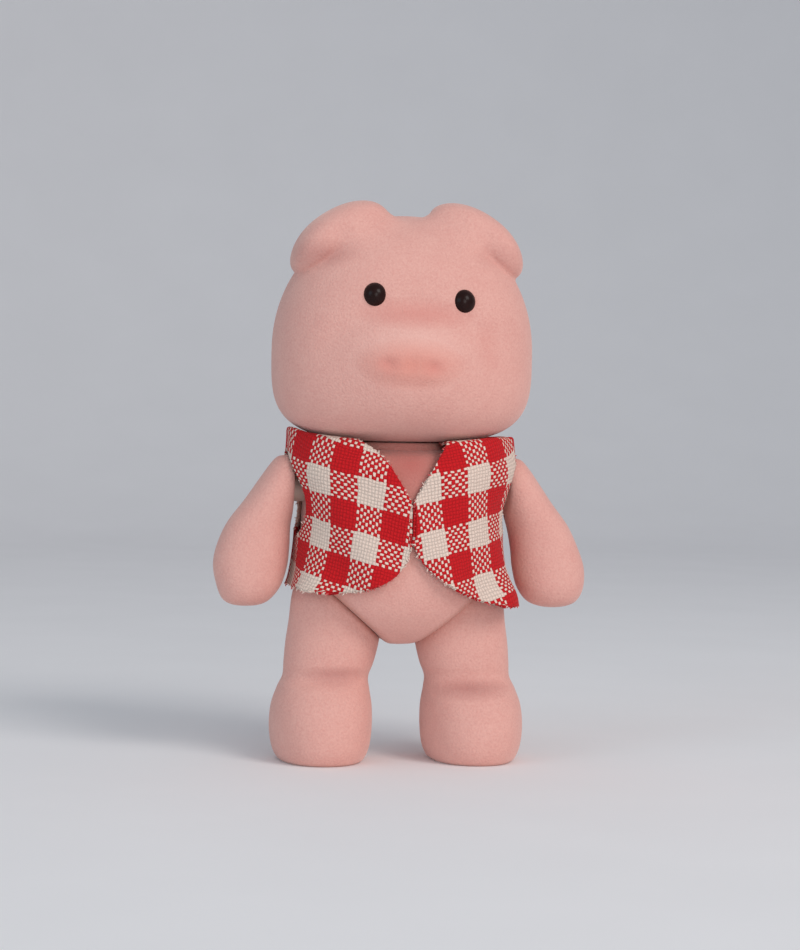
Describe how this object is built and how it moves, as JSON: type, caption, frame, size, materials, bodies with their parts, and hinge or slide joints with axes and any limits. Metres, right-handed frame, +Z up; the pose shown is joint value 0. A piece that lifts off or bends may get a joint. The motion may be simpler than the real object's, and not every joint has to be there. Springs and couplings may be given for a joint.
{
  "type": "pig figurine",
  "caption": "Flocked toy pig that stands on its feet in an open gingham vest; head, arms and legs turn on headed pins held between the body's two shells.",
  "frame": {"origin": "on the floor under the middle of the figure's box", "axes": "+Z up, the pig faces -Y and its own left side is +X"},
  "size_m": [0.0444, 0.0269, 0.0649],
  "materials": {
    "flocked_skin": "hard moulding with a short velvety pink flock",
    "gingham_cloth": "plain-woven cotton in red and white checks with raw edges",
    "eye_bead": "polished near-black bead",
    "pin_plastic": "plain moulded plastic"
  },
  "bodies": {
    "torso": {"torso_front": "flocked_skin", "torso_back": "flocked_skin", "tail": "flocked_skin", "vest": "gingham_cloth"},
    "head": {"head_front": "flocked_skin", "head_back": "flocked_skin", "right_ear": "flocked_skin", "left_ear": "flocked_skin", "right_eye": "eye_bead", "left_eye": "eye_bead", "neck_pin": "pin_plastic"},
    "right_arm_limb": {"right_arm": "flocked_skin", "right_shoulder_pin": "pin_plastic"},
    "left_arm_limb": {"left_arm": "flocked_skin", "left_shoulder_pin": "pin_plastic"},
    "right_leg_limb": {"right_leg": "flocked_skin", "right_hip_pin": "pin_plastic"},
    "left_leg_limb": {"left_leg": "flocked_skin", "left_hip_pin": "pin_plastic"}
  },
  "joints": [
    {"name": "head_turn", "type": "hinge", "parent": "torso", "child": "head", "pos_m": [0, 0, 0.037], "axis": [0, 0, 1], "continuous": true},
    {"name": "right_arm_swing", "type": "hinge", "parent": "torso", "child": "right_arm_limb", "pos_m": [-0.0126, 0, 0.0316], "axis": [-1, 0, 0], "range_deg": [-80, 100]},
    {"name": "left_arm_swing", "type": "hinge", "parent": "torso", "child": "left_arm_limb", "pos_m": [0.0126, 0, 0.0316], "axis": [-1, 0, 0], "range_deg": [-80, 100]},
    {"name": "right_leg_swing", "type": "hinge", "parent": "torso", "child": "right_leg_limb", "pos_m": [-0.0069, 0, 0.0184], "axis": [-0.6561, 0, -0.7547], "range_deg": [-30, 75]},
    {"name": "left_leg_swing", "type": "hinge", "parent": "torso", "child": "left_leg_limb", "pos_m": [0.0069, 0, 0.0184], "axis": [-0.6561, 0, 0.7547], "range_deg": [-30, 75]}
  ]
}
